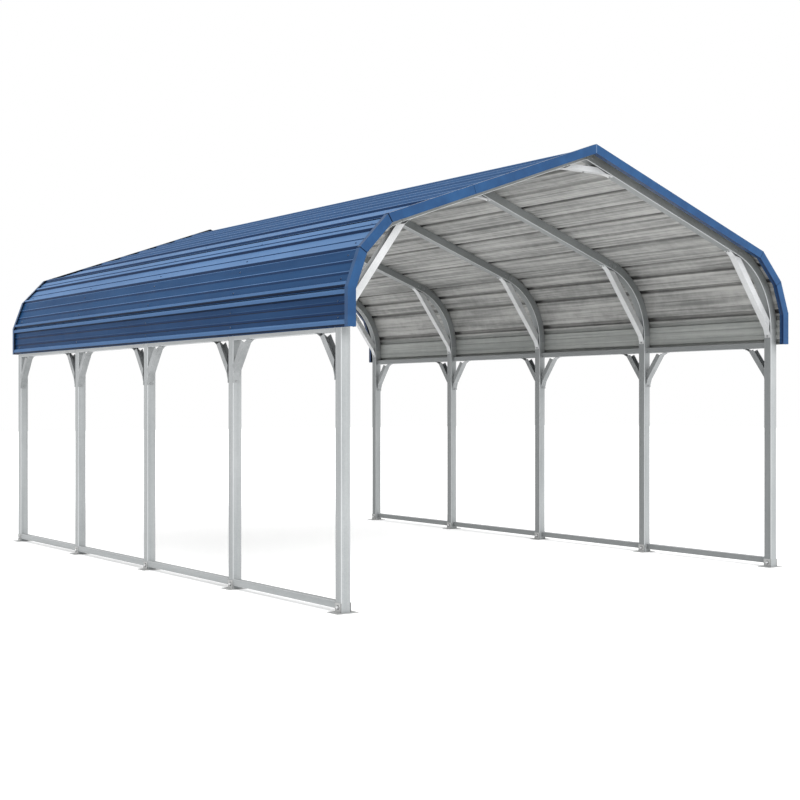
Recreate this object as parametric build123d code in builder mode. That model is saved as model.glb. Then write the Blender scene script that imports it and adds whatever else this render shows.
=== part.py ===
"""Open carport: five bowed tube frames with rails and braces under a ribbed sheet roof.

The frame has X across the carport, Y along it with the front at -Y, and Z up.
The origin is at the centre of the footprint, on the ground. Sizes are in millimetres.
"""
from build123d import *
from math import atan2, cos, hypot, radians, sin, tan
import os

# Layout of the frames
bay_count = 4
bay_length = 1520
span = 4520
leg_height = 2095
roof_pitch = 19.5

# Square tube of the posts, bows and rafters
tube = 76
tube_wall = 2.5
tube_corner = 3.5
bow_radius = 740

# Square tube of the base rails and eave rails
rail = 50
rail_wall = 2.0
rail_corner = 2.5
base_rail_gap = 30
eave_rail_drop = 165

# Foot brackets
plate_length = 172
plate_width = 140
plate_thickness = 5
ear_height = 66
ear_thickness = 4
anchor_spacing = 128
anchor_hole = 14

# Pressed channel braces
brace_sheet = 2.5
brace_width = 60
brace_crush = 30
brace_tab = 24
flange_clearance = 9
knee_brace_drop = 275
knee_brace_reach = 200
knee_brace_flange = 45
corner_brace_drop = 20
corner_brace_reach = 45
corner_brace_flange = 52
peak_brace_half_width = 250
peak_brace_flange = 40

# Ribbed roof sheet
sheet = 1.0
overhang = 150
sheet_lap_below_rail_top = 20
rib_pitches = 9
rib_height = 19
rib_base = 46
rib_top = 20
rib_edge = 6
knee_rib_setback = 120
minor_pitch = 75
minor_height = 4
minor_base = 26
minor_top = 12
upper_knee_angle = 46.5
lower_knee_angle = 70.0

# Folded edge trim at the two ends of the roof
trim_sheet = 1.5
trim_depth = 68
trim_cover = 40
trim_return = 40

# Places worked out from the sizes above
frame_places = [(i - bay_count / 2) * bay_length for i in range(bay_count + 1)]
bay_centres = [(i + 0.5 - bay_count / 2) * bay_length for i in range(bay_count)]
post_x = span / 2
post_outer = post_x + tube / 2
post_inner = post_x - tube / 2
rail_x = post_outer - rail / 2
eave_rail_height = leg_height - eave_rail_drop
slope = radians(roof_pitch)
bend_turn = 90 - roof_pitch
bend_x = post_outer - bow_radius
roof_half_length = bay_count * bay_length / 2 + overhang
eave_height = eave_rail_height + rail - sheet_lap_below_rail_top


def tube_section(size, wall, corner):
    """Hollow square section with flattened corners, drawn in the current sketch."""
    half = size / 2
    flat = half - corner
    Polygon(
        (half, flat), (flat, half), (-flat, half), (-half, flat),
        (-half, -flat), (-flat, -half), (flat, -half), (half, -flat),
    )
    Rectangle(size - 2 * wall, size - 2 * wall, mode=Mode.SUBTRACT)


def save(piece, name):
    """Label a finished piece and write its file."""
    piece.label = name
    export_step(piece, f"parts/{name}.step")


os.makedirs("parts", exist_ok=True)

# Posts, one on each side of each frame
for side, side_name in ((-1, "left"), (1, "right")):
    for number, y in enumerate(frame_places, start=1):
        with BuildPart() as post:
            with BuildSketch(Plane((side * post_x, y, plate_thickness))):
                tube_section(tube, tube_wall, tube_corner)
            extrude(amount=leg_height - plate_thickness)
        save(post.part, f"post_{side_name}_{number}")

# Bow corners, the bent tubes that turn each post into its rafter
with BuildPart() as bow_corners_right:
    for y in frame_places:
        with BuildSketch(Plane((post_x, y, leg_height))) as bow_section:
            tube_section(tube, tube_wall, tube_corner)
        revolve(
            bow_section.sketch,
            axis=Axis((bend_x, y, leg_height), (0, -1, 0)),
            revolution_arc=bend_turn,
        )
with BuildPart() as bow_corners_left:
    mirror(bow_corners_right.part, about=Plane.YZ)
save(bow_corners_right.part, "bow_corners_right")
save(bow_corners_left.part, "bow_corners_left")

# Rafters, straight tubes from the bow corners to the ridge, mitred where they meet
bend_end_radius = bow_radius - tube / 2
rafter_foot_x = bend_x + bend_end_radius * sin(slope)
rafter_foot_z = leg_height + bend_end_radius * cos(slope)
rafter_reach = rafter_foot_x / cos(slope) + tube
for side, side_name in ((-1, "left"), (1, "right")):
    for number, y in enumerate(frame_places, start=1):
        rafter_end = Plane(
            origin=(side * rafter_foot_x, y, rafter_foot_z),
            x_dir=(0, 1, 0),
            z_dir=(-side * cos(slope), 0, sin(slope)),
        )
        with BuildPart() as rafter:
            with BuildSketch(rafter_end):
                tube_section(tube, tube_wall, tube_corner)
            extrude(amount=rafter_reach)
            split(bisect_by=Plane.YZ, keep=Keep.TOP if side > 0 else Keep.BOTTOM)
        save(rafter.part, f"rafter_{side_name}_{number}")

# Foot brackets: an anchor plate with two upright ears that hold the post
with BuildPart() as foot:
    Box(plate_length, plate_width, plate_thickness, align=(Align.CENTER, Align.CENTER, Align.MIN))
    with Locations((0, 0, plate_thickness)):
        with GridLocations(tube + ear_thickness, 1, 2, 1):
            Box(ear_thickness, tube, ear_height, align=(Align.CENTER, Align.CENTER, Align.MIN))
    with Locations((0, 0, plate_thickness)):
        with GridLocations(anchor_spacing, 1, 2, 1):
            Hole(radius=anchor_hole / 2, depth=plate_thickness)
for side, side_name in ((-1, "left"), (1, "right")):
    with BuildPart() as foot_brackets:
        with Locations([(side * post_x, y, 0) for y in frame_places]):
            add(foot.part)
    save(foot_brackets.part, f"foot_brackets_{side_name}")

# Base rails and eave rails, one length of tube in each bay
with BuildPart() as rail_length:
    with BuildSketch(Plane.XZ.offset(-(bay_length - tube) / 2)):
        tube_section(rail, rail_wall, rail_corner)
    extrude(amount=bay_length - tube)
for side, side_name in ((-1, "left"), (1, "right")):
    for rail_name, bottom in (("base", base_rail_gap), ("eave", eave_rail_height)):
        with BuildPart() as rails:
            with Locations([(side * rail_x, y, bottom + rail / 2) for y in bay_centres]):
                add(rail_length.part)
        save(rails.part, f"{rail_name}_rails_{side_name}")


def channel_brace(plane, foot_point, foot_angle, head_point, head_angle, flange):
    """Pressed channel across a corner, with a flat tab lying on each face of the corner.

    The points are where the line of the channel meets its faces, in the plane's own
    coordinates, with the corner on the left of the way from foot to head. The angles give
    the direction of each tab, in degrees, away from the channel. The flanges point into
    the corner and stop where the ends are crushed flat and bent over to the tabs.
    """
    length = hypot(head_point[0] - foot_point[0], head_point[1] - foot_point[1])
    run = ((head_point[0] - foot_point[0]) / length, (head_point[1] - foot_point[1]) / length)
    out = (-run[1], run[0])
    foot_dir = (cos(radians(foot_angle)), sin(radians(foot_angle)))
    head_dir = (cos(radians(head_angle)), sin(radians(head_angle)))
    foot_open = atan2(-out[0] * foot_dir[0] - out[1] * foot_dir[1],
                      -run[0] * foot_dir[0] - run[1] * foot_dir[1])
    head_open = atan2(-out[0] * head_dir[0] - out[1] * head_dir[1],
                      run[0] * head_dir[0] + run[1] * head_dir[1])
    foot_set = flange_clearance + flange / tan(foot_open)
    head_set = flange_clearance + flange / tan(head_open)

    def along(distance, height):
        return (foot_point[0] + run[0] * distance + out[0] * height,
                foot_point[1] + run[1] * distance + out[1] * height)

    def on_face(point, direction, distance):
        return (point[0] + direction[0] * distance, point[1] + direction[1] * distance)

    web_line = [
        on_face(foot_point, foot_dir, brace_crush + brace_tab),
        on_face(foot_point, foot_dir, brace_crush),
        along(brace_crush, 0),
        along(length - brace_crush, 0),
        on_face(head_point, head_dir, brace_crush),
        on_face(head_point, head_dir, brace_crush + brace_tab),
    ]
    with BuildPart() as brace:
        with BuildSketch(plane):
            with BuildLine():
                Polyline(*web_line)
                offset(amount=brace_sheet, side=Side.RIGHT, kind=Kind.INTERSECTION)
            make_face()
        extrude(amount=brace_width / 2, both=True)
        for edge in (-1, 1):
            with BuildSketch(plane.offset(edge * (brace_width - brace_sheet) / 2)):
                with BuildLine():
                    Polyline(
                        along(brace_crush, 0),
                        along(foot_set, flange),
                        along(length - head_set, flange),
                        along(length - brace_crush, 0),
                        close=True,
                    )
                make_face()
            extrude(amount=brace_sheet / 2, both=True)
    return brace.part


# Knee braces along the sides, from each post to the underside of the eave rails
knee_foot = (tube / 2, eave_rail_height - knee_brace_drop)
knee_head = (tube / 2 + knee_brace_reach, eave_rail_height)
knee_behind = channel_brace(Plane.YZ, knee_foot, -90, knee_head, 0, knee_brace_flange)
knee_ahead = mirror(knee_behind, about=Plane.XZ)
for side, side_name in ((-1, "left"), (1, "right")):
    with BuildPart() as knee_braces:
        with Locations([(side * rail_x, y, 0) for y in frame_places[:-1]]):
            add(knee_behind)
        with Locations([(side * rail_x, y, 0) for y in frame_places[1:]]):
            add(knee_ahead)
    save(knee_braces.part, f"knee_braces_{side_name}")

# Corner braces across each bow corner, from the rafter's underside to the post's inner face
bend_inner_radius = bow_radius - tube
corner_head = (
    bend_x + bend_inner_radius * sin(slope) - corner_brace_reach * cos(slope),
    leg_height + bend_inner_radius * cos(slope) + corner_brace_reach * sin(slope),
)
corner_foot = (post_inner, leg_height - corner_brace_drop)
for side, side_name in ((-1, "left"), (1, "right")):
    with BuildPart() as corner_braces:
        for y in frame_places:
            frame_plane = Plane(origin=(0, y, 0), x_dir=(side, 0, 0), z_dir=(0, -side, 0))
            add(channel_brace(
                frame_plane, corner_head, 180 - roof_pitch, corner_foot, -90,
                corner_brace_flange,
            ))
    save(corner_braces.part, f"corner_braces_{side_name}")

# Peak braces under the ridge, between the undersides of the two rafters of each frame
peak_brace_height = corner_head[1] + (corner_head[0] - peak_brace_half_width) * tan(slope)
with BuildPart() as peak_braces:
    for y in frame_places:
        add(channel_brace(
            Plane.XZ.offset(-y),
            (-peak_brace_half_width, peak_brace_height), 180 + roof_pitch,
            (peak_brace_half_width, peak_brace_height), -roof_pitch,
            peak_brace_flange,
        ))
save(peak_braces.part, "peak_braces")

# The line of the roof, from the ridge down to the eave on the right side
knee_angles = [roof_pitch, upper_knee_angle, lower_knee_angle, 90]


def roof_line(offset_out):
    """Corner points of the roof's folded line, this far outside the tubes."""
    radius = bow_radius + offset_out
    points = []
    for upper, lower in zip(knee_angles[:-1], knee_angles[1:]):
        middle = radians((upper + lower) / 2)
        reach = radius / cos(radians((lower - upper) / 2))
        points.append((bend_x + reach * sin(middle), leg_height + reach * cos(middle)))
    ridge = (0, points[0][1] + points[0][0] * tan(slope))
    eave = (points[-1][0], eave_height)
    return [ridge] + points + [eave]


def rib_list(majors, length, lead=0, tail=0):
    """Major ribs at the given distances, with minor ribs spread evenly between them.

    Lead and tail are where the flats before the first rib and after the last one begin
    and end. Each rib is its centre, foot width, crest width and height.
    """
    ribs = [(centre, rib_base, rib_top, rib_height) for centre in majors]
    marks = [-lead] + majors + [length + tail]
    for first, last in zip(marks[:-1], marks[1:]):
        count = round((last - first) / minor_pitch) - 1
        for i in range(count):
            centre = first + (last - first) * (i + 1) / (count + 1)
            ribs.append((centre, minor_base, minor_top, minor_height))
    return sorted(ribs)


def ribbed_sheet(corners, ribs_of_runs):
    """Sheet as long as the roof, folded at the given corners, with ribs on each run."""
    outline = []
    for start, end, ribs in zip(corners[:-1], corners[1:], ribs_of_runs):
        length = hypot(end[0] - start[0], end[1] - start[1])
        run = ((end[0] - start[0]) / length, (end[1] - start[1]) / length)
        heights = [(0, 0)]
        for centre, base, top, height in ribs:
            heights += [
                (centre - base / 2, 0), (centre - top / 2, height),
                (centre + top / 2, height), (centre + base / 2, 0),
            ]
        outline += [
            (start[0] + run[0] * u - run[1] * v, start[1] + run[1] * u + run[0] * v)
            for u, v in heights
        ]
    outline.append(corners[-1])
    with BuildPart() as ribbed:
        with BuildSketch(Plane.XZ):
            with BuildLine():
                Polyline(*outline)
                offset(amount=sheet, side=Side.LEFT, kind=Kind.INTERSECTION)
            make_face()
        extrude(amount=roof_half_length - trim_sheet, both=True)
    return ribbed.part


def save_pair(piece, name):
    """Write the piece of the right side and its mirror image on the left."""
    save(mirror(piece, about=Plane.YZ), f"{name}_left")
    save(piece, f"{name}_right")


def run_length(start, end):
    """Length of one run of the roof line."""
    return hypot(end[0] - start[0], end[1] - start[1])


# Corners of the folded roof line and where its sheets begin and end
ridge, first_fold, second_fold, third_fold, eave = roof_line(0)
slope_length = run_length(ridge, first_fold)
rib_pitch = slope_length / rib_pitches
fold_setback = rib_base / 2 + rib_edge
ridge_reach = rib_pitch - fold_setback
ridge_side = (ridge_reach * cos(slope), ridge[1] - ridge_reach * sin(slope))

# Ridge sheet, folded over the peak
ridge_ribs = rib_list([], ridge_reach)
ridge_panel = ribbed_sheet(
    [(-ridge_side[0], ridge_side[1]), ridge, ridge_side], [ridge_ribs, ridge_ribs]
)
save(ridge_panel, "ridge_panel")

# Roof slopes, from the ridge sheet down to the first fold
slope_ribs = [rib_pitch * i + fold_setback for i in range(rib_pitches - 1)]
slope_ribs[-1] = slope_length - ridge_reach - fold_setback
roof_panel = ribbed_sheet(
    [ridge_side, first_fold], [rib_list(slope_ribs, slope_length - ridge_reach)]
)
save_pair(roof_panel, "roof_panel")

# Knee sheets over the bow corners, folded once
upper_run = run_length(first_fold, second_fold)
lower_run = run_length(second_fold, third_fold)
knee_panel = ribbed_sheet(
    [first_fold, second_fold, third_fold],
    [
        rib_list([knee_rib_setback, upper_run - fold_setback], upper_run),
        rib_list([lower_run - fold_setback], lower_run),
    ],
)
save_pair(knee_panel, "knee_panel")

# Eave sheets, upright against the posts and the eave rails
eave_run = run_length(third_fold, eave)
eave_panel = ribbed_sheet(
    [third_fold, eave], [rib_list([fold_setback, eave_run - fold_setback], eave_run)]
)
save_pair(eave_panel, "eave_panel")

# Edge trim: a folded channel over the sheet ends, one on each side of each gable
trim_outer = rib_height + sheet + trim_sheet


def trim_band(outer, inner, side):
    """Outline between two lines parallel to the roof line, on one side of the ridge."""
    points = roof_line(outer) + list(reversed(roof_line(inner)))
    return [(side * x, z) for x, z in points]


# Each layer is a band of the roof line and how far it reaches back from the gable
trim_inner = trim_outer - trim_depth
trim_layers = [
    (trim_outer, trim_inner, trim_sheet),
    (trim_outer, trim_outer - trim_sheet, trim_cover),
    (trim_inner + trim_sheet, trim_inner, trim_return),
]
for end_sign, end_name in ((-1, "front"), (1, "back")):
    gable_plane = Plane.XZ.offset(-end_sign * roof_half_length)
    for side, side_name in ((-1, "left"), (1, "right")):
        with BuildPart() as trim:
            for outer, inner, reach in trim_layers:
                with BuildSketch(gable_plane):
                    with BuildLine():
                        Polyline(*trim_band(outer, inner, side), close=True)
                    make_face()
                extrude(amount=end_sign * reach)
        save(trim.part, f"{end_name}_trim_{side_name}")
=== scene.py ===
from math import cos, hypot, pi, radians, sin, tan

import bmesh
import bpy
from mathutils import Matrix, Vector, noise


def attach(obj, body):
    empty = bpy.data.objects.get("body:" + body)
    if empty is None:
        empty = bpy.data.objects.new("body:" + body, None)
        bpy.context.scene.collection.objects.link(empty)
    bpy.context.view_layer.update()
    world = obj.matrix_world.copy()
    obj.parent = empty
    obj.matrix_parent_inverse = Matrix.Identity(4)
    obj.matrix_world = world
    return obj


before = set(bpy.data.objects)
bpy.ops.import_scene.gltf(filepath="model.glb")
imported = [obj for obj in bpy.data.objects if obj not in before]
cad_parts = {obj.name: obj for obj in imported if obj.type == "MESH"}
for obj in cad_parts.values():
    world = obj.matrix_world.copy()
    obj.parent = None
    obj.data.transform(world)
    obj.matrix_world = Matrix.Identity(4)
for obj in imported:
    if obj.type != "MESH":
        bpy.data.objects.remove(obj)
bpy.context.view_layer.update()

# Sizes and places of the frame, in metres
FRAME_PLACES = [-3.04, -1.52, 0.0, 1.52, 3.04]
BAY_CENTRES = [-2.28, -0.76, 0.76, 2.28]
BAY_LENGTH = 1.52
POST_X = 2.26
TUBE = 0.076
TUBE_CORNER = 0.0035
RAIL = 0.050
RAIL_CORNER = 0.0025
RAIL_X = 2.273
BASE_RAIL_BOTTOM = 0.030
EAVE_RAIL_BOTTOM = 1.930
LEG_HEIGHT = 2.095
BEND_X = 1.558
BEND_RADIUS = 0.740
SLOPE = radians(19.5)

# Braces and feet
BRACE_SHEET = 0.0025
TAB_CENTRE = 0.042
CORNER_BRACE_SETBACK = 0.045
CORNER_BRACE_FOOT = 2.075
PEAK_BRACE_REACH = 0.25
PEAK_BRACE_END_HEIGHT = 3.2625
PEAK_BRACE_UNDERSIDE = 3.2600
KNEE_BRACE_DROP = 0.275
KNEE_BRACE_REACH = 0.200
EAR_SHEET = 0.004
EAR_BOTTOM = 0.006
EAR_TOP = 0.070

# Roof sheets and their edge trim
ROOF_END = 3.190
FLAT_ANGLES = [19.5, 46.5, 70.0, 90.0]
EAVE_HEIGHT = 1.960
EAVE_FOLD_HEIGHT = 2.2255
SHEET = 0.001
RIB_PITCHES = 9
RIB_SETBACK = 0.029
TRIM_OUTER = 0.0215
TRIM_DEPTH = 0.068
TRIM_COVER = 0.040

# Fasteners and welds: thread sizes first, then radii and places
ROOF_SCREW = 0.0075
BOW_SCREW = 0.0075
BRACE_BOLT = 0.008
CORNER_FOOT_BOLT = 0.010
FOOT_BOLT = 0.012
FOOT_BOLT_HEIGHT = 0.040
# Painted shadow ring round the foot bolts' washers
BOLT_SHADOW_RING = [(0, 0.0168), (0.0005, 0.0160)]
RIVET_RADIUS = 0.005
RIVETS_ON_RUNS = [8, 2, 2]
SCREW_BESIDE_RIB = 0.045
JOINT_SCREW_STEP = 0.042
RIDGE_SCREW_X = 0.060
TAB_BOLT_Y = 0.013
WELD_RADIUS = 0.0022
WELD_SETBACK = 0.0012

# Joint lines: how far they stand out of the steel and how far their backs are sunk in it
LINE_PROUD = 0.0002
FOLD_LINE_PROUD = 0.0004
THIN_LINE_PROUD = 0.0003
LINE_SUNK = 0.0002
COVER_LINE_SUNK = 0.0001

# Half widths of the joint lines, and places of two of them. The trim's lines at its folds
# are listed from the upper fold down, for the lapped side of a gable and for the plain one.
LAPPED_TRIM_LINES = [0.0046, 0.0036]
PLAIN_TRIM_LINES = [0.0018, 0.0018]
SPLICE_LINE = 0.0016
RIDGE_LINE = 0.0018
BOW_LINE = 0.0010
MITRE_LINE = 0.0012
TRIM_SPLICE = 1.30
RIDGE_LINE_DROP = 0.002

# Lips of the sheet laps: how high their tops lie over the tubes, and where they end along Y
LAP_TOP = 0.0022
LAP_END = ROOF_END - 0.003


def roof_line(offset_out):
    """Corner points of the roof on the right side, this far outside the tubes."""
    radius = BEND_RADIUS + offset_out
    points = []
    for upper, lower in zip(FLAT_ANGLES[:-1], FLAT_ANGLES[1:]):
        middle = radians((upper + lower) / 2)
        reach = radius / cos(radians((lower - upper) / 2))
        points.append((BEND_X + reach * sin(middle), LEG_HEIGHT + reach * cos(middle)))
    ridge = (0.0, points[0][1] + points[0][0] * tan(SLOPE))
    return [ridge] + points + [(points[-1][0], EAVE_HEIGHT)]


def on_run(start, end, distance, lift):
    """Point on a run of the roof line and the direction out of it."""
    length = hypot(end[0] - start[0], end[1] - start[1])
    run = ((end[0] - start[0]) / length, (end[1] - start[1]) / length)
    x = start[0] + run[0] * distance - run[1] * lift
    z = start[1] + run[1] * distance + run[0] * lift
    return x, z, (-run[1], run[0])


inner_line = roof_line(0.0)
ridge_height = inner_line[0][1]
runs = list(zip(inner_line[:-1], inner_line[1:]))
run_lengths = [hypot(b[0] - a[0], b[1] - a[1]) for a, b in runs]
rib_pitch = run_lengths[0] / RIB_PITCHES


class Shade:
    """A procedural material under construction."""

    def __init__(self, name, metallic=0.0, specular=0.5):
        self.material = bpy.data.materials.new(name)
        self.material.use_nodes = True
        self.nodes = self.material.node_tree.nodes
        self.links = self.material.node_tree.links
        self.shader = self.nodes["Principled BSDF"]
        self.shader.inputs["Metallic"].default_value = metallic
        self.shader.inputs["Specular IOR Level"].default_value = specular
        self.object_place = self.nodes.new("ShaderNodeTexCoord").outputs["Object"]

    def put(self, value, socket):
        """Links a node's output to a socket, or sets the socket to a plain value."""
        if isinstance(value, bpy.types.NodeSocket):
            self.links.new(value, socket)
        else:
            socket.default_value = value

    def math(self, operation, a, b=0.0, c=0.0):
        node = self.nodes.new("ShaderNodeMath")
        node.operation = operation
        for value, socket in zip((a, b, c), node.inputs):
            self.put(value, socket)
        return node.outputs[0]

    def times(self, first, *others):
        for value in others:
            first = self.math("MULTIPLY", first, value)
        return first

    def linear(self, value, factor, base):
        """The value times a factor, and the base added."""
        return self.math("MULTIPLY_ADD", value, factor, base)

    def axes(self, vector):
        node = self.nodes.new("ShaderNodeSeparateXYZ")
        self.put(vector, node.inputs[0])
        return node.outputs

    def vector(self, x, y, z):
        node = self.nodes.new("ShaderNodeCombineXYZ")
        for value, socket in zip((x, y, z), node.inputs):
            self.put(value, socket)
        return node.outputs[0]

    def face_direction(self):
        """The direction that the flat face itself looks in, without bump or smoothing."""
        return self.nodes.new("ShaderNodeNewGeometry").outputs["True Normal"]

    def dot(self, a, b):
        node = self.nodes.new("ShaderNodeVectorMath")
        node.operation = "DOT_PRODUCT"
        self.put(a, node.inputs[0])
        self.put(b, node.inputs[1])
        return node.outputs["Value"]

    def stretched(self, scale):
        node = self.nodes.new("ShaderNodeMapping")
        self.put(self.object_place, node.inputs["Vector"])
        node.inputs["Scale"].default_value = scale
        return node.outputs[0]

    def noise(self, scale, detail=4.0, rough=0.55, vector=None):
        node = self.nodes.new("ShaderNodeTexNoise")
        self.put(vector or self.object_place, node.inputs["Vector"])
        node.inputs["Scale"].default_value = scale
        node.inputs["Detail"].default_value = detail
        node.inputs["Roughness"].default_value = rough
        return node.outputs["Fac"]

    def cells(self, scale):
        node = self.nodes.new("ShaderNodeTexVoronoi")
        self.put(self.object_place, node.inputs["Vector"])
        node.inputs["Scale"].default_value = scale
        return self.axes(node.outputs["Color"])[0]

    def between(self, value, low, high, to_low=0.0, to_high=1.0):
        """A smooth step from to_low at low to to_high at high."""
        node = self.nodes.new("ShaderNodeMapRange")
        node.interpolation_type = "SMOOTHSTEP"
        self.put(value, node.inputs["Value"])
        node.inputs["From Min"].default_value = low
        node.inputs["From Max"].default_value = high
        node.inputs["To Min"].default_value = to_low
        node.inputs["To Max"].default_value = to_high
        return node.outputs[0]

    def mix(self, factor, a, b):
        """Mixes two colours."""
        node = self.nodes.new("ShaderNodeMix")
        node.data_type = "RGBA"
        self.put(factor, node.inputs[0])
        self.put(a, node.inputs[6])
        self.put(b, node.inputs[7])
        return node.outputs[2]

    def number_mix(self, factor, a, b):
        node = self.nodes.new("ShaderNodeMix")
        node.data_type = "FLOAT"
        self.put(factor, node.inputs[0])
        self.put(a, node.inputs[2])
        self.put(b, node.inputs[3])
        return node.outputs[0]

    def bump(self, height, strength, distance):
        node = self.nodes.new("ShaderNodeBump")
        self.put(height, node.inputs["Height"])
        node.inputs["Strength"].default_value = strength
        node.inputs["Distance"].default_value = distance
        self.links.new(node.outputs[0], self.shader.inputs["Normal"])

    def finish(self, colour, roughness):
        self.put(colour, self.shader.inputs["Base Color"])
        self.put(roughness, self.shader.inputs["Roughness"])
        return self.material


def rgb(red, green, blue):
    return (red, green, blue, 1.0)


PAINT_LIGHT = rgb(0.016, 0.065, 0.165)
PAINT_DARK = rgb(0.011, 0.046, 0.124)
PAINT_DUST = rgb(0.026, 0.064, 0.125)
# Painted light and sky reflection on the enamel
PAINT_LIT_SHEEN = rgb(0.100, 0.200, 0.385)
PAINT_SHADE = rgb(0.002, 0.017, 0.062)
# Painted shade on enamel faces that look down
PAINT_UNDER_SHADE = rgb(0.001, 0.005, 0.018)
# Painted shade for the back of the trim's face
TRIM_BACK_SHADE = rgb(0.006, 0.009, 0.014)
INNER_ZINC_DARK, INNER_ZINC_LIGHT = rgb(0.165, 0.168, 0.164), rgb(0.420, 0.420, 0.408)
INNER_ZINC_EAVE = rgb(0.34, 0.36, 0.348)
RIB_HOLLOW = rgb(0.05, 0.05, 0.048)
TUBE_LIGHT, TUBE_DARK = rgb(0.37, 0.385, 0.39), rgb(0.27, 0.285, 0.29)
# Painted shade on tube faces turned in under the roof
TUBE_INNER_SHADE = rgb(0.13, 0.138, 0.14)
# Painted highlight on the tubes' rolled corners
TUBE_CORNER_HIGHLIGHT = rgb(0.66, 0.68, 0.69)


def galvanised(name, light, dark, stretch, metallic=0.35, inner_shade=0.0, highlight_axis=None,
               lit_low_tone=None):
    """Zinc coated steel: faint spangle, drawn streaks and a cloudy bloom, with painted shade and
    painted highlights where asked for.
    """
    m = Shade(name, metallic)
    spangle = m.cells(120.0)
    cloud = m.noise(1.4, 4.0, 0.55)
    streak = m.noise(1.0, 6.0, 0.6, m.stretched(stretch))
    tone = m.linear(spangle, 0.07, m.times(cloud, 0.45))
    tone = m.linear(streak, 0.48, tone)
    colour = m.mix(m.between(tone, 0.30, 0.72), dark, light)
    place = m.axes(m.object_place)
    normal = m.axes(m.face_direction())
    if lit_low_tone:
        # Painted shade: the bows are painted darker up under the roof and lighter where they come
        # down to the posts
        low = m.between(place[2], LEG_HEIGHT + 0.05, LEG_HEIGHT + 0.55, 0.85, 0.0)
        colour = m.mix(low, colour, lit_low_tone)
    if inner_shade:
        # Painted shade: faces turned in under the roof are painted duller and darker
        inward = m.times(normal[0], m.math("SIGN", place[0]))
        shaded_inward = m.between(inward, -0.4, -0.8)
        colour = m.mix(m.times(shaded_inward, inner_shade), colour, TUBE_INNER_SHADE)
    if highlight_axis is not None:
        # Painted highlight: the rolled corners of the tube are painted bright
        tilt = m.math("ABSOLUTE", normal[highlight_axis])
        edge = m.times(m.between(tilt, 0.50, 0.62), m.between(tilt, 0.80, 0.92, 1.0, 0.0))
        colour = m.mix(m.times(edge, 0.6), colour, TUBE_CORNER_HIGHLIGHT)
    fine = m.noise(260.0, 3.0, 0.5)
    rough = m.between(m.math("ADD", cloud, m.times(fine, 0.3)), 0.35, 0.95, 0.36, 0.50)
    m.bump(m.math("ADD", fine, m.times(spangle, 0.3)), 0.07, 0.0005)
    return m.finish(colour, rough)


def painted(m):
    """Colour and roughness of the baked enamel on the roof and its trim."""
    broad = m.noise(0.9, 3.0, 0.5)
    along = m.noise(1.0, 5.0, 0.6, m.stretched((9.0, 0.7, 9.0)))
    tone = m.between(m.linear(along, 0.6, m.times(broad, 0.4)), 0.34, 0.66)
    colour = m.mix(tone, PAINT_DARK, PAINT_LIGHT)
    dust = m.between(m.noise(14.0, 6.0, 0.65), 0.58, 0.86, 0.0, 0.28)
    colour = m.mix(dust, colour, PAINT_DUST)
    rough = m.number_mix(m.noise(6.0, 4.0, 0.6), 0.26, 0.44)
    return colour, rough


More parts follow.
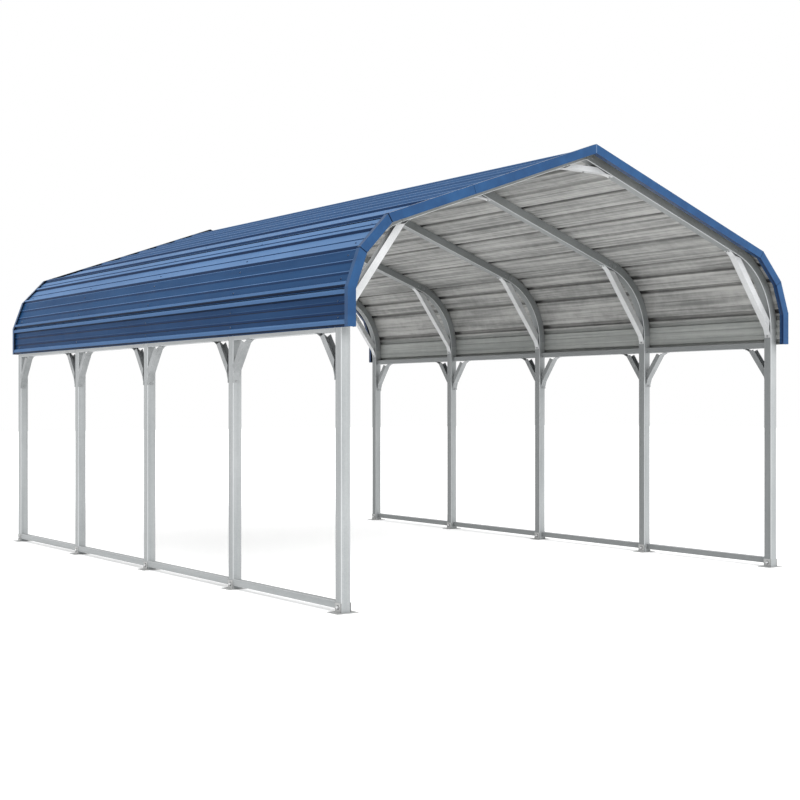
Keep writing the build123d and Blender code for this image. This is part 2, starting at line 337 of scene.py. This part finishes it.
def roof_sheet():
    """Blue enamel outside and zinc inside, told apart by which way the face looks."""
    m = Shade("roof_sheet_enamel_and_zinc", 0.0, 0.07)
    place = m.axes(m.object_place)
    face = m.face_direction()
    looks_up = m.axes(face)[2]
    apart = m.math("ABSOLUTE", place[0])
    past_bend = m.math("SUBTRACT", apart, BEND_X)
    above_bend = m.math("SUBTRACT", place[2], LEG_HEIGHT)
    across = m.times(m.math("MAXIMUM", past_bend, 0.0), m.math("SIGN", place[0]))
    outward = m.vector(across, 0.0, m.math("MAXIMUM", above_bend, 0.0))
    outside = m.math("GREATER_THAN", m.dot(outward, face), 0.004)

    # How far a point stands out of the plain folded line: nothing on the flats, most on ribs
    lift = -1.0
    for angle in FLAT_ANGLES:
        from_bend = m.times(past_bend, sin(radians(angle)))
        from_bend = m.linear(above_bend, cos(radians(angle)), from_bend)
        lift = m.math("MAXIMUM", lift, from_bend)
    lift = m.math("SUBTRACT", lift, BEND_RADIUS)
    hollow = m.between(lift, 0.002, 0.012)
    # The crest mask carries painted highlights further down
    crest = m.between(lift, 0.0165, 0.0192)
    web = m.times(m.between(lift, 0.0018, 0.0045), m.between(lift, 0.0165, 0.0195, 1.0, 0.0))

    # On the slopes every other rib gets weaker painted shade, so it shows faintly
    rib = m.math("FLOORED_MODULO", m.math("DIVIDE", apart, rib_pitch * cos(SLOPE)), 2.0)
    rib = m.math("ABSOLUTE", m.math("SUBTRACT", rib, 1.0))
    weak_shade_rib = m.times(m.between(rib, 0.40, 0.60), m.between(apart, 0.10, 0.25),
                    m.between(apart, 1.90, 1.96, 1.0, 0.0))

    # Painted light and shade: faces that look up, and on the slopes every face, are painted
    # lighter for the light and sky reflection on them; upright faces and the sides of the ribs get
    # painted shade
    blue, blue_rough = painted(m)
    up_facing = m.between(looks_up, 0.42, 0.66)
    not_up = m.math("SUBTRACT", 1.0, up_facing)
    blue = m.mix(m.between(looks_up, 0.08, 0.30, 0.42, 0.10), blue, PAINT_SHADE)
    sheen_patches = m.between(m.noise(0.8, 3.0, 0.5), 0.2, 0.8, 0.75, 1.0)
    blue = m.mix(m.times(up_facing, sheen_patches), blue, PAINT_LIT_SHEEN)
    slope = m.between(apart, BEND_X - 0.20, BEND_X + 0.05, 1.0, 0.0)
    blue = m.mix(m.times(not_up, slope, 0.42), blue, PAINT_LIT_SHEEN)
    web = m.times(web, not_up, m.linear(weak_shade_rib, -0.85, 1.0))
    blue = m.mix(m.times(web, m.linear(slope, -0.60, 0.80)), blue, PAINT_SHADE)

    # Below the upper folds the ribs stand out most: painted highlights on the crests over painted
    # shade on the faces that look down
    below = m.times(m.math("SUBTRACT", 1.0, slope), not_up)
    blue = m.mix(m.times(crest, below, 0.50), blue, PAINT_LIT_SHEEN)
    under = m.between(looks_up, -0.12, -0.45)
    blue = m.mix(m.times(under, below, 0.80), blue, PAINT_UNDER_SHADE)

    streak = m.noise(1.0, 7.0, 0.62, m.stretched((34.0, 0.55, 34.0)))
    broad = m.noise(1.7, 4.0, 0.6, m.stretched((2.4, 0.5, 2.4)))
    mottle = m.noise(11.0, 6.0, 0.62)
    tone = m.linear(streak, 0.55, m.times(broad, 0.30))
    tone = m.linear(mottle, 0.15, tone)
    zinc = m.mix(m.between(tone, 0.36, 0.64), INNER_ZINC_DARK, INNER_ZINC_LIGHT)
    # The upright sheets at the eaves catch more light from the floor
    at_eave = m.between(place[2], EAVE_FOLD_HEIGHT - 0.02, EAVE_FOLD_HEIGHT + 0.01, 1.0, 0.0)
    zinc = m.mix(m.times(at_eave, 0.55), zinc, INNER_ZINC_EAVE)
    # The hollows of the ribs are in shadow, most of all where they pass over a frame
    from_start = m.math("ADD", place[1], 5.5 * BAY_LENGTH)
    from_frame = m.math("FLOORED_MODULO", from_start, BAY_LENGTH)
    from_frame = m.math("ABSOLUTE", m.math("SUBTRACT", from_frame, 0.5 * BAY_LENGTH))
    over_frame = m.between(from_frame, 0.06, 0.16, 1.0, 0.0)
    shadow = m.times(hollow, m.linear(over_frame, 0.46, 0.50), m.linear(at_eave, -0.65, 1.0),
                     m.linear(weak_shade_rib, -0.80, 1.0))
    zinc = m.mix(shadow, zinc, RIB_HOLLOW)

    colour = m.mix(outside, zinc, blue)
    rough = m.number_mix(outside, 0.50, m.math("ADD", blue_rough, 0.14))
    m.put(m.linear(outside, -0.20, 0.20), m.shader.inputs["Metallic"])
    waves = m.noise(1.0, 4.0, 0.5, m.stretched((3.0, 0.9, 3.0)))
    m.bump(m.linear(m.noise(180.0, 3.0, 0.5), 0.004, waves), 0.06, 0.004)
    return m.finish(colour, rough)


def edge_trim():
    """Blue enamel, with painted shade where the trim turns in and on the back of its face."""
    m = Shade("edge_trim_enamel", 0.0, 0.22)
    colour, rough = painted(m)
    place = m.axes(m.object_place)
    normal = m.axes(m.face_direction())
    inward = m.times(normal[0], -1.0, m.math("SIGN", place[0]))
    inside = m.math("MAXIMUM", m.times(normal[2], -1.0), inward)
    not_gable = m.math("LESS_THAN", m.math("ABSOLUTE", normal[1]), 0.5)
    turned_in = m.times(m.between(inside, 0.15, 0.35), not_gable)
    depth = m.between(m.math("ABSOLUTE", place[1]), ROOF_END - 0.030, ROOF_END - 0.014)
    # Painted shade: the turned-in return is painted dark, darkest just behind the face
    colour = m.mix(m.times(turned_in, m.linear(depth, 0.45, 0.50)), colour, PAINT_SHADE)
    # Painted shade: the back of the face, which looks in under the roof, is painted near black
    back = m.between(m.times(normal[1], m.math("SIGN", place[1])), -0.5, -0.7)
    colour = m.mix(back, colour, TRIM_BACK_SHADE)
    m.bump(m.noise(3.0, 3.0, 0.5), 0.08, 0.003)
    return m.finish(colour, rough)


def fastener_steel(name, dark, light):
    m = Shade(name, 0.8)
    worn = m.noise(900.0, 3.0, 0.5)
    m.bump(worn, 0.1, 0.0003)
    return m.finish(m.mix(m.between(worn, 0.3, 0.7), dark, light), m.number_mix(worn, 0.28, 0.46))


def clouded(name, scale, dark, light, specular, rough):
    """Two tones mixed in small clouds, for joints dark with dirt and painted shadow, and for
    rubbed enamel.
    """
    m = Shade(name, 0.0, specular)
    return m.finish(m.mix(m.noise(scale, 4.0, 0.6), dark, light), rough)


def weld_steel():
    m = Shade("weld_steel", 0.45)
    scale = m.noise(240.0, 5.0, 0.6)
    m.bump(scale, 0.3, 0.0008)
    colour = m.mix(scale, rgb(0.24, 0.245, 0.25), rgb(0.50, 0.51, 0.51))
    return m.finish(colour, m.number_mix(scale, 0.4, 0.6))


zinc_upright = galvanised("galvanised_upright", TUBE_LIGHT, TUBE_DARK, (26.0, 26.0, 0.7),
                          inner_shade=0.55, highlight_axis=1)
zinc_along = galvanised("galvanised_along", TUBE_LIGHT, TUBE_DARK, (26.0, 0.7, 26.0),
                        inner_shade=0.55, highlight_axis=0)
# Painted shade: a darker copy of the tube zinc, for the rafters and bows under the roof
shaded_rafter_zinc = galvanised("galvanised_rafter_shaded", rgb(0.265, 0.28, 0.28), rgb(0.17, 0.181, 0.181),
                         (0.9, 26.0, 0.9), highlight_axis=1, lit_low_tone=TUBE_DARK)
zinc_knee = galvanised("galvanised_knee_brace", rgb(0.34, 0.352, 0.357),
                       rgb(0.22, 0.232, 0.236), (7.0, 7.0, 7.0), inner_shade=0.5)
zinc_pressing = galvanised("galvanised_pressing", rgb(0.60, 0.61, 0.615),
                           rgb(0.44, 0.45, 0.455), (6.0, 6.0, 6.0), metallic=0.30)
zinc_foot = galvanised("foot_steel", rgb(0.50, 0.505, 0.50), rgb(0.32, 0.325, 0.325),
                       (9.0, 9.0, 9.0))
enamel_sheet = roof_sheet()
enamel_trim = edge_trim()
worn_enamel = clouded("worn_enamel", 80.0, rgb(0.10, 0.17, 0.28), rgb(0.26, 0.32, 0.40),
                      0.3, 0.5)
# Painted light and shade: the frame and knee brace bolts get a darker copy of the steel, for the
# shade they are in, and the foot bolts a brighter one, for the light on them
bolt_steel = fastener_steel("bolt_steel", rgb(0.20, 0.205, 0.21), rgb(0.42, 0.43, 0.435))
foot_bolt_lit_steel = fastener_steel("foot_bolt_lit_steel", rgb(0.55, 0.555, 0.56),
                                 rgb(0.85, 0.86, 0.87))
joint_shadow = clouded("joint_shadow", 60.0, rgb(0.003, 0.007, 0.018),
                       rgb(0.009, 0.018, 0.040), 0.05, 0.8)
seam_shadow = clouded("seam_shadow", 70.0, rgb(0.018, 0.019, 0.019),
                      rgb(0.045, 0.047, 0.047), 0.1, 0.7)
weld_metal = weld_steel()

# The first words of the nodes' names, with their finishes. The other nodes are roof sheets.
FINISHES = [
    ("post", zinc_upright), ("rafter", shaded_rafter_zinc), ("bow", shaded_rafter_zinc),
    ("base_rails", zinc_along), ("eave_rails", zinc_along), ("foot", zinc_foot),
    ("knee_braces", zinc_knee), ("corner_braces", zinc_pressing),
    ("peak_braces", zinc_pressing), ("front_trim", enamel_trim), ("back_trim", enamel_trim),
]
for name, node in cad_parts.items():
    finish = next((made for words, made in FINISHES if name.startswith(words)), enamel_sheet)
    for place in node.material_slots:
        place.material = finish


def added(name, data):
    """An object with this data, put in the scene."""
    made = bpy.data.objects.new(name, data)
    bpy.context.scene.collection.objects.link(made)
    return made


def mesh_object(name, bm, material):
    mesh = bpy.data.meshes.new(name)
    bm.to_mesh(mesh)
    bm.free()
    mesh.materials.append(material)
    return added(name, mesh)


def piece(name, bm, material, smooth_angle=None):
    """Makes a finished mesh a piece of the object."""
    bmesh.ops.recalc_face_normals(bm, faces=bm.faces)
    made = mesh_object(name, bm, material)
    if smooth_angle:
        made.data.shade_smooth()
        made.data.set_sharp_from_angle(angle=radians(smooth_angle))
    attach(made, "root")


def skin(bm, loops):
    """Faces between each loop of points and the next."""
    for low, high in zip(loops[:-1], loops[1:]):
        for i in range(len(low)):
            j = (i + 1) % len(low)
            bm.faces.new((low[i], low[j], high[j], high[i]))


def solid(bm, loops):
    """Faces along the loops and across both ends."""
    skin(bm, loops)
    bm.faces.new(list(reversed(loops[0])))
    bm.faces.new(loops[-1])


def box(bm, near, far):
    """A closed box between two loops of four corners."""
    solid(bm, [[bm.verts.new(corner) for corner in loop] for loop in (near, far)])


def across_axes(axis):
    """Two directions square to an axis and to each other."""
    axis = axis.normalized()
    if abs(axis.z) < 0.9:
        side = axis.cross(Vector((0, 0, 1))).normalized()
    else:
        side = axis.orthogonal().normalized()
    return side, axis.cross(side)


def ring(bm, centre, axis, radius, sides, turn=0.0):
    """A loop of points round a centre, square to the axis."""
    side, up = across_axes(axis)
    loop = []
    for i in range(sides):
        angle = 2 * pi * i / sides + turn
        loop.append(bm.verts.new(centre + (side * cos(angle) + up * sin(angle)) * radius))
    return loop


def turned(bm, base, axis, profile, sides, turn=0.0):
    """A closed solid round an axis, from pairs of height and radius."""
    axis = axis.normalized()
    solid(bm, [ring(bm, base + axis * height, axis, radius, sides, turn)
               for height, radius in profile])


# Parts of each fastener, each with its pairs of height and radius and its number of sides.
# The measures are in sizes of the thread, or of the rivet's radius.
WASHER = ([(0, 1.00), (0.126, 1.00), (0.18, 0.93)], 20)
BOLT = [WASHER, ([(0.18, 0.76), (0.24, 0.86), (0.7376, 0.86), (0.86, 0.70)], 6),
        ([(0.86, 0.52), (0.89, 0.46)], 12)]
NUT = [WASHER, ([(0.18, 0.80), (0.26, 0.88), (0.84, 0.88), (0.93, 0.74)], 6),
       ([(0.93, 0.46), (1.15, 0.46), (1.23, 0.38)], 14)]
SHEET_SCREW = [([(0, 1.05), (0.16, 1.12), (0.30, 1.02), (0.38, 0.72)], 16),
               ([(0.38, 0.62), (0.86, 0.62), (0.98, 0.50)], 6)]
RIVET = [([(0, 1.00), (0.16, 0.94), (0.32, 0.64), (0.38, 0.24)], 12)]


def fastener(bm, parts, base, axis, size, turn=0.0):
    """Stands a fastener on a face. The turn is for its six-sided parts, so that heads differ."""
    for profile, sides in parts:
        profile = [(height * size, radius * size) for height, radius in profile]
        turned(bm, base, axis, profile, sides, turn if sides == 6 else 0.0)


def weld_bead(bm, path, radius, sides, seed):
    """A closed bead along a path, thicker and thinner as a hand-laid weld is."""
    loops = []
    for i, point in enumerate(path):
        wave = 1.0 + 0.22 * sin(i * 2.1) + 0.25 * noise.noise(point * 90.0 + Vector((seed, 0, 0)))
        axis = path[(i + 1) % len(path)] - path[i - 1]
        loops.append(ring(bm, point, axis, radius * wave, sides))
    skin(bm, loops + loops[:1])


def tube_outline(size, corner):
    """The eight corners of a square tube's section, with its rolled corners cut off."""
    half, flat = size / 2, size / 2 - corner
    return [(half, flat), (flat, half), (-flat, half), (-half, flat),
            (-half, -flat), (-flat, -half), (flat, -half), (half, -flat)]


# Screws of the roof over every frame, as pairs of run and distance down it: one beside each
# rib of the slope, then two near the folds or ends of each run
screw_rows = [(0, rib_pitch * i - SCREW_BESIDE_RIB) for i in range(1, RIB_PITCHES)]
screw_rows += [(0, run_lengths[0] - 0.075), (0, 0.085), (1, 0.060), (1, run_lengths[1] - 0.075),
               (2, 0.035), (2, run_lengths[2] - 0.072), (3, 0.085), (3, run_lengths[3] - 0.068)]
bm = bmesh.new()
for side in (-1, 1):
    for number, y in enumerate(FRAME_PLACES):
        for count, (run, distance) in enumerate(screw_rows):
            x, z, out = on_run(*runs[run], distance, SHEET)
            fastener(bm, SHEET_SCREW, Vector((side * x, y, z)), Vector((side * out[0], 0, out[1])),
                     ROOF_SCREW, count * 0.7 + number)
piece("roof_screws", bm, enamel_sheet, 35)

# Lap edges: the upper sheet of each pair ends in a turned-down lip over the lower one.
# Each has its run, its distance down the run and its width.
LAPS = [(0, rib_pitch - RIB_SETBACK, 0.0055), (1, 0.003, 0.012), (3, 0.0005, 0.0050)]
bm = bmesh.new()
for side in (-1, 1):
    for run, distance, width in LAPS:
        corners = []
        for along, lift in ((0.0, SHEET), (0.0, LAP_TOP), (width, LAP_TOP), (width, SHEET)):
            x, z, out = on_run(*runs[run], distance + along, lift)
            corners.append((side * x, z))
        box(bm, [(x, -LAP_END, z) for x, z in corners], [(x, LAP_END, z) for x, z in corners])
piece("sheet_lap_edges", bm, joint_shadow)


def strap(bm, top, along, out, half_width, end_sign, lift):
    """A thin strap over the trim at one joint: down its face and back over its cover."""
    bottom = top - out * TRIM_DEPTH
    aside = along * half_width
    face_y = end_sign * (ROOF_END + lift)
    sunk_y = end_sign * (ROOF_END - LINE_SUNK)
    back_y = end_sign * (ROOF_END - TRIM_COVER)
    corners = [bottom - aside, bottom + aside, top + aside, top - aside]
    box(bm, *[[(spot.x, y, spot.z) for spot in corners] for y in (face_y, sunk_y)])
    layers = []
    for height in (-COVER_LINE_SUNK, lift - COVER_LINE_SUNK):
        low, high = top - aside + out * height, top + aside + out * height
        layers.append([(low.x, face_y, low.z), (high.x, face_y, high.z),
                       (high.x, back_y, high.z), (low.x, back_y, low.z)])
    box(bm, *layers)


# Joints of the trim at its two upper folds. On the left of the front gable and the right of
# the back one they are wide laps, and there is one more lap between the ridge and the folds.
outer_line = roof_line(TRIM_OUTER)
bm = bmesh.new()
for end_sign in (-1, 1):
    for side in (-1, 1):
        widths = LAPPED_TRIM_LINES if side == end_sign else PLAIN_TRIM_LINES
        for number, half_width in enumerate(widths, 1):
            angle = radians((FLAT_ANGLES[number - 1] + FLAT_ANGLES[number]) / 2)
            top = Vector((side * outer_line[number][0], 0, outer_line[number][1]))
            strap(bm, top, Vector((side * cos(angle), 0, -sin(angle))),
                  Vector((side * sin(angle), 0, cos(angle))), half_width, end_sign,
                  FOLD_LINE_PROUD)
    x, z, out = on_run(outer_line[0], outer_line[1], TRIM_SPLICE, 0.0)
    strap(bm, Vector((end_sign * x, 0, z)), Vector((end_sign * out[1], 0, -out[0])),
          Vector((end_sign * out[0], 0, out[1])), SPLICE_LINE, end_sign, LINE_PROUD)
piece("trim_joint_lines", bm, joint_shadow)

bm = bmesh.new()
for end_sign in (-1, 1):
    top = Vector((0, 0, outer_line[0][1] - RIDGE_LINE_DROP))
    strap(bm, top, Vector((1, 0, 0)), Vector((0, 0, 1)), RIDGE_LINE, end_sign, LINE_PROUD)
piece("ridge_joint_lines", bm, worn_enamel)

# Pop rivets along the middle of the trim's cover, into the crests of the ribs below it
bm = bmesh.new()
for end_sign in (-1, 1):
    for side in (-1, 1):
        for run, count in enumerate(RIVETS_ON_RUNS):
            start, end = outer_line[run:run + 2]
            length = hypot(end[0] - start[0], end[1] - start[1])
            for number in range(count):
                x, z, out = on_run(start, end, length * (number + 0.5) / count, -LINE_SUNK)
                spot = Vector((side * x, end_sign * (ROOF_END - TRIM_COVER / 2), z))
                fastener(bm, RIVET, spot, Vector((side * out[0], 0, out[1])), RIVET_RADIUS)
piece("trim_rivets", bm, enamel_trim, 50)

# Places on the right half of a frame, with the frame itself at zero along Y
out_of_rafter = Vector((sin(SLOPE), 0, cos(SLOPE)))
under_rafter = -out_of_rafter
up_rafter = Vector((-cos(SLOPE), 0, sin(SLOPE)))
bend_centre = Vector((BEND_X, 0, LEG_HEIGHT))
bend_end = bend_centre + out_of_rafter * (BEND_RADIUS - TUBE / 2)
ridge_screw = Vector((RIDGE_SCREW_X, 0, ridge_height - TUBE / 2 / cos(SLOPE)
                      - RIDGE_SCREW_X * tan(SLOPE)))
corner_brace_head = (bend_centre + out_of_rafter * (BEND_RADIUS - TUBE)
                     + up_rafter * (CORNER_BRACE_SETBACK + TAB_CENTRE)
                     + under_rafter * BRACE_SHEET)
corner_brace_foot = Vector((POST_X - TUBE / 2 - BRACE_SHEET, 0, CORNER_BRACE_FOOT - TAB_CENTRE))
peak_brace_tab = (Vector((PEAK_BRACE_REACH, 0, PEAK_BRACE_END_HEIGHT))
                  - up_rafter * TAB_CENTRE + under_rafter * BRACE_SHEET)


def mirrored(vector, side):
    """The vector itself for the right side (1), or its mirror image for the left (-1)."""
    return Vector((vector.x * side, vector.y, vector.z))


bm = bmesh.new()
for side in (-1, 1):
    for number, y in enumerate(FRAME_PLACES):
        bolts = [(corner_brace_foot, Vector((-1, 0, 0)), CORNER_FOOT_BOLT, 0.5 * number),
                 (peak_brace_tab, under_rafter, BRACE_BOLT, 0.8 * number)]
        for edge in (-1, 1):
            spot = corner_brace_head + Vector((0, edge * TAB_BOLT_Y, 0))
            bolts.append((spot, under_rafter, BRACE_BOLT, number + edge))
        for face in (-1, 1):
            # Screws of the joint between bow and rafter and of the ridge joint
            out = Vector((0, face, 0))
            for step in (-JOINT_SCREW_STEP, JOINT_SCREW_STEP):
                spot = bend_end + up_rafter * step + out * TUBE / 2
                bolts.append((spot, out, BOW_SCREW, 0.4 * number + step * 9))
            bolts.append((ridge_screw + out * TUBE / 2, out, BRACE_BOLT, 0.3 * number))
        for spot, axis, size, turn in bolts:
            spot = mirrored(spot, side) + Vector((0, y, 0))
            fastener(bm, BOLT, spot, mirrored(axis, side), size, turn)
for y in FRAME_PLACES:
    fastener(bm, BOLT, Vector((0, y, PEAK_BRACE_UNDERSIDE)), Vector((0, 0, -1)), BRACE_BOLT)
piece("frame_bolts", bm, bolt_steel, 35)

# Knee braces: one screw in the post, one up into the eave rail
bm = bmesh.new()
for side in (-1, 1):
    for number, y in enumerate(FRAME_PLACES):
        for way in (-1, 1):
            if not FRAME_PLACES[0] < y + way * BAY_LENGTH / 2 < FRAME_PLACES[-1]:
                continue
            foot = Vector((side * RAIL_X, y + way * (TUBE / 2 + BRACE_SHEET),
                           EAVE_RAIL_BOTTOM - KNEE_BRACE_DROP - TAB_CENTRE))
            fastener(bm, BOLT, foot, Vector((0, way, 0)), BRACE_BOLT, number)
            head = Vector((side * RAIL_X, y + way * (TUBE / 2 + KNEE_BRACE_REACH + TAB_CENTRE),
                           EAVE_RAIL_BOTTOM - BRACE_SHEET))
            fastener(bm, BOLT, head, Vector((0, 0, -1)), BRACE_BOLT, number + 0.5)
piece("knee_brace_bolts", bm, bolt_steel, 35)

# Foot bolts, with their nuts on the inner ears
bm = bmesh.new()
ear_face = TUBE / 2 + EAR_SHEET
for side in (-1, 1):
    for number, y in enumerate(FRAME_PLACES):
        fastener(bm, BOLT, Vector((side * (POST_X + ear_face), y, FOOT_BOLT_HEIGHT)),
                 Vector((side, 0, 0)), FOOT_BOLT, 0.6 * number)
        fastener(bm, NUT, Vector((side * (POST_X - ear_face), y, FOOT_BOLT_HEIGHT)),
                 Vector((-side, 0, 0)), FOOT_BOLT, 0.3 * number)
piece("foot_bolts", bm, foot_bolt_lit_steel, 35)

# Painted shadow: dark rings round the foot bolts' washers on the ears
bm = bmesh.new()
for side in (-1, 1):
    for y in FRAME_PLACES:
        for edge in (-1, 1):
            x = side * POST_X + edge * (ear_face - LINE_SUNK)
            turned(bm, Vector((x, y, FOOT_BOLT_HEIGHT)), Vector((edge, 0, 0)), BOLT_SHADOW_RING, 24)
piece("foot_bolt_shadow_rings", bm, seam_shadow)

# A thin eight-sided band round each tube, where the bow ends and the rafter starts
bm = bmesh.new()
for side in (-1, 1):
    axis = mirrored(up_rafter, side)
    up = mirrored(out_of_rafter, side)
    aside = axis.cross(up)
    for y in FRAME_PLACES:
        centre = mirrored(bend_end, side) + Vector((0, y, 0))
        loops = []
        for way, lift in ((-1, -LINE_SUNK), (-1, THIN_LINE_PROUD), (1, THIN_LINE_PROUD),
                          (1, -LINE_SUNK)):
            scale = 1 + lift / (TUBE / 2)
            loops.append([bm.verts.new(centre + axis * way * BOW_LINE
                                       + (aside * a + up * b) * scale)
                          for a, b in tube_outline(TUBE, TUBE_CORNER)])
        skin(bm, loops + loops[:1])
piece("bow_joint_lines", bm, seam_shadow)


def thin_line(bm, left, right, bottom, top, y, proud):
    """A shallow box that stands out of a face square to Y."""
    corners = [(left, bottom), (right, bottom), (right, top), (left, top)]
    box(bm, [(x, y, z) for x, z in corners], [(x, y + proud, z) for x, z in corners])


# Mitre of the rafters at the ridge, which stops just short of their corners, and the edges of
# the foot ears against the posts
mitre_bottom = ridge_height - TUBE / cos(SLOPE) + 0.001
mitre_top = ridge_height - 0.002
bm = bmesh.new()
for y in FRAME_PLACES:
    for face in (-1, 1):
        at = y + face * TUBE / 2
        thin_line(bm, -MITRE_LINE, MITRE_LINE, mitre_bottom, mitre_top, at,
                  face * THIN_LINE_PROUD)
        for side in (-1, 1):
            for edge in (-1, 1):
                x = side * POST_X + edge * TUBE / 2
                thin_line(bm, x, x + edge * EAR_SHEET, EAR_BOTTOM, EAR_TOP, at,
                          face * THIN_LINE_PROUD)
piece("mitre_and_ear_lines", bm, seam_shadow)

# Weld beads where the rails meet the posts, with more points on the flats than on the corners
weld_path = []
corners = tube_outline(RAIL, RAIL_CORNER)
for k, (a, b) in enumerate(zip(corners, corners[1:] + corners[:1])):
    steps = 9 if k % 2 else 2
    for step in range(steps):
        t = step / steps
        weld_path.append(Vector((a[0] + (b[0] - a[0]) * t, 0, a[1] + (b[1] - a[1]) * t)))
bm = bmesh.new()
for side in (-1, 1):
    for rail_number, bottom in enumerate((BASE_RAIL_BOTTOM, EAVE_RAIL_BOTTOM)):
        for number, y in enumerate(BAY_CENTRES):
            for way in (-1, 1):
                end = y + way * (BAY_LENGTH - TUBE) / 2
                centre = Vector((side * RAIL_X, end - way * WELD_SETBACK, bottom + RAIL / 2))
                weld_bead(bm, [centre + spot for spot in weld_path], WELD_RADIUS, 6,
                          number + 7 * rail_number + 31 * side + way)
piece("rail_welds", bm, weld_metal, 60)

# The floor glows a little, so that it stays as white as the photo's background
bm = bmesh.new()
bmesh.ops.create_grid(bm, x_segments=4, y_segments=4, size=60.0)
m = Shade("studio_floor", specular=0.0)
m.shader.inputs["Emission Color"].default_value = rgb(1.0, 1.0, 1.0)
m.shader.inputs["Emission Strength"].default_value = 0.27
floor = mesh_object("studio_floor", bm, m.finish(rgb(0.94, 0.94, 0.94), 0.9))

world = bpy.data.worlds.new("studio")
bpy.context.scene.world = world
world.use_nodes = True
world.node_tree.nodes["Background"].inputs["Color"].default_value = rgb(1.0, 1.0, 1.0)
world.node_tree.nodes["Background"].inputs["Strength"].default_value = 1.0

sun = bpy.data.lights.new("key_light", "SUN")
sun.energy = 2.4
sun.angle = radians(35.0)
sun_turn = Vector((0.15, 1.0, -0.62)).to_track_quat("-Z", "Y").to_euler()
added("key_light", sun).rotation_euler = sun_turn

# The camera is level. Its focal length and the point that it looks at are in pixels of the
# photo, and its place is in metres.
PHOTO_SIDE = 800
FOCAL_LENGTH = 1356.7
LOOKS_AT = (403.1, 404.8)
SENSOR = 36
camera_data = bpy.data.cameras.new("camera")
camera_data.sensor_width = SENSOR
camera_data.lens = FOCAL_LENGTH / PHOTO_SIDE * SENSOR
camera_data.shift_x = (PHOTO_SIDE / 2 - LOOKS_AT[0]) / PHOTO_SIDE
camera_data.shift_y = (LOOKS_AT[1] - PHOTO_SIDE / 2) / PHOTO_SIDE
camera_data.clip_end = 200
camera = added("camera", camera_data)
camera.location = (-7.4063, -10.8271, 1.4293)
camera.rotation_euler = (radians(90), 0, radians(-36.003))
bpy.context.scene.camera = camera
bpy.context.scene.view_settings.view_transform = "Standard"
